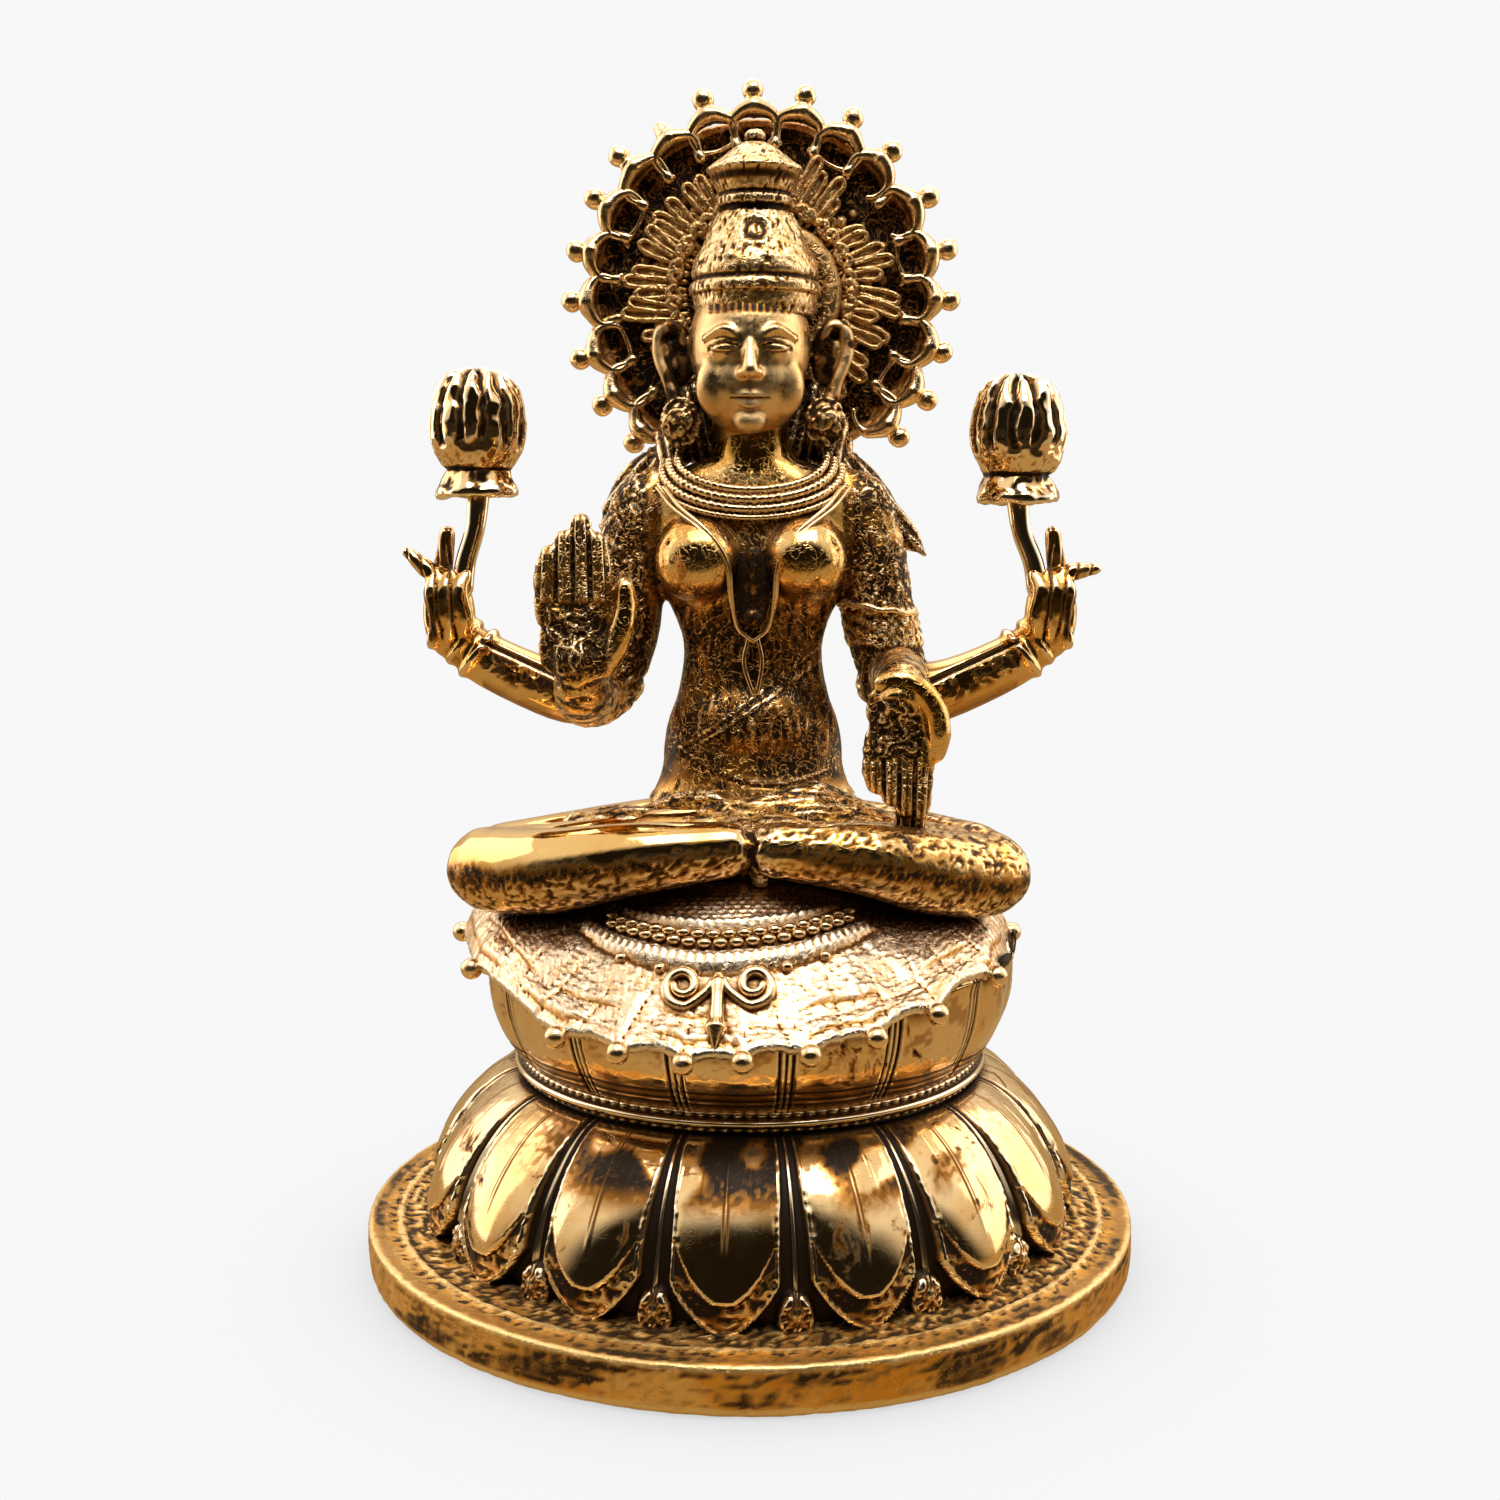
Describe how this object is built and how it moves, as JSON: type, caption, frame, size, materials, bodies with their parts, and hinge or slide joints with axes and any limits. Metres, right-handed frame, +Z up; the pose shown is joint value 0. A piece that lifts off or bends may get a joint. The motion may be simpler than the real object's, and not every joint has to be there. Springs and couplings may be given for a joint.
{
  "type": "lakshmi figure",
  "caption": "Small cast brass goddess seated cross-legged on a double lotus with a round base disc, holding two lotus buds, with a round arched and beaded halo behind the crown.",
  "frame": {"origin": "centre of the underside of the round base disc", "axes": "+Z up, the figure faces -Y, the viewer's left is -X"},
  "size_m": [0.08, 0.08, 0.1207],
  "materials": {
    "brass": "polished cast brass with dark brown patina in the recesses"
  },
  "bodies": {
    "root": {"lakshmi_figure": "brass"}
  },
  "joints": []
}
